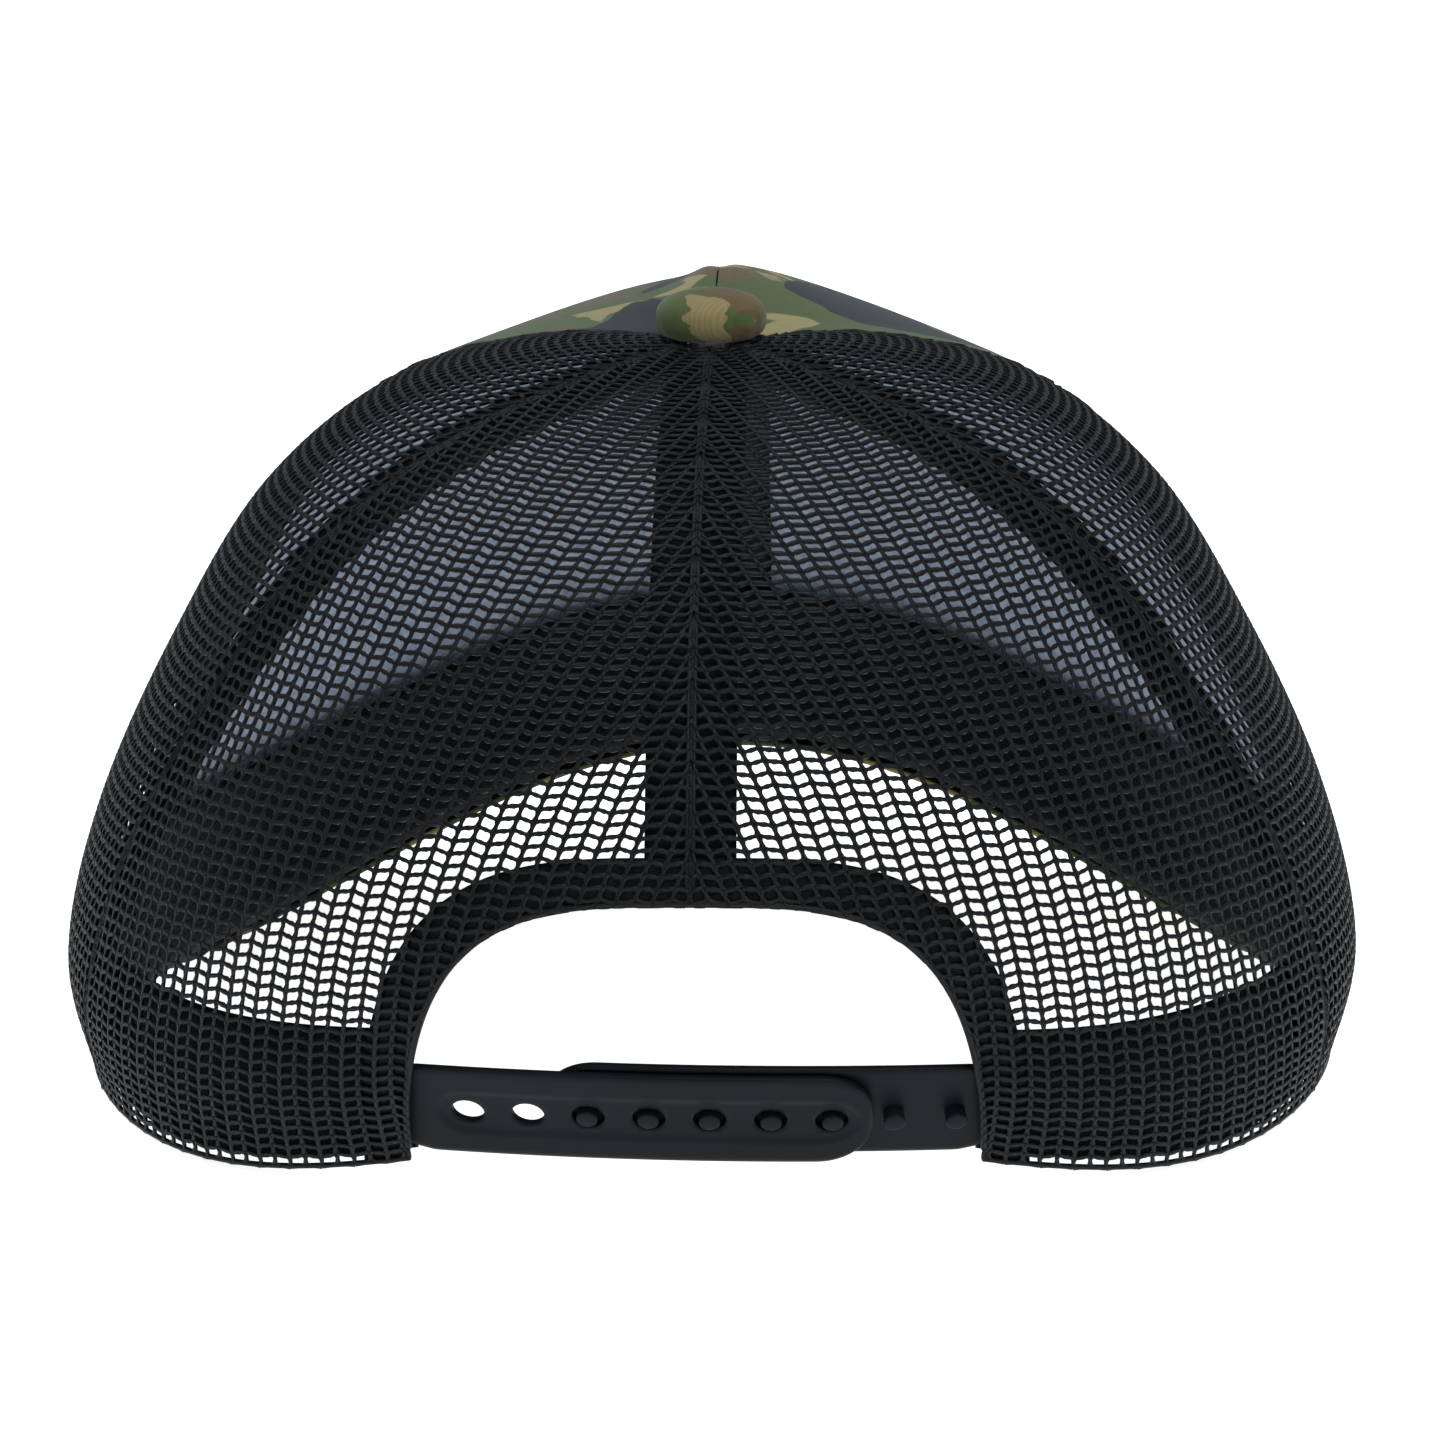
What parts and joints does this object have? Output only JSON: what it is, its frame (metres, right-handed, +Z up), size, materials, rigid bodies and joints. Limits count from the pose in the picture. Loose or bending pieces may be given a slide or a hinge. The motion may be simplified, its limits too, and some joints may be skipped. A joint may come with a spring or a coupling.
{
  "type": "trucker mesh cap",
  "caption": "Six-panel trucker cap: camouflage front and curved visor, black mesh back and sides, rear arch with a snap strap.",
  "frame": {"origin": "on the table, under the middle of the cap's bounding box", "axes": "+Z up, +Y toward the visor, -Y toward the snap strap, +X to the right as seen from behind"},
  "size_m": [0.1806, 0.2647, 0.1105],
  "materials": {
    "mesh": "open knitted polyester mesh, near black",
    "camo_cloth": "woven cotton twill printed with a green, tan, brown and black camouflage",
    "buckram": "stiffened grey lining cloth",
    "tape": "woven black seam tape",
    "sweatband": "brushed black cotton",
    "board": "stiff moulded visor board",
    "button_metal": "pressed bare metal",
    "strap_plastic": "black moulded plastic, satin"
  },
  "bodies": {
    "crown": {"back_mesh_left": "mesh", "back_mesh_right": "mesh", "side_mesh_left": "mesh", "side_mesh_right": "mesh", "front_panel_left": "camo_cloth", "front_panel_right": "camo_cloth", "front_buckram_left": "buckram", "front_buckram_right": "buckram", "seam_tape_back": "tape", "seam_tape_side_left": "tape", "seam_tape_side_right": "tape", "seam_tape_front_left": "tape", "seam_tape_front_right": "tape", "seam_tape_front_centre": "tape", "sweatband": "sweatband", "arch_binding": "tape", "visor_board": "board", "visor_top_cover": "camo_cloth", "visor_under_cover": "camo_cloth", "button_cover": "camo_cloth", "button_core": "button_metal", "button_rivet": "button_metal", "hole_strap_root": "strap_plastic", "stud_strap_root": "strap_plastic"},
    "outer_strap": {"hole_strap": "strap_plastic"},
    "inner_strap": {"stud_strap": "strap_plastic"}
  },
  "joints": [
    {"name": "hole_strap_swing", "type": "hinge", "parent": "crown", "child": "outer_strap", "pos_m": [-0.0382, -0.11738, 0.01152], "axis": [0, 0.6057, -0.7957], "range_deg": [0, 50], "stiffness_Nm_per_rad": 0.1},
    {"name": "stud_strap_swing", "type": "hinge", "parent": "crown", "child": "inner_strap", "pos_m": [0.0382, -0.11738, 0.01152], "axis": [0, 0.6057, -0.7957], "range_deg": [0, 30], "stiffness_Nm_per_rad": 0.1}
  ]
}
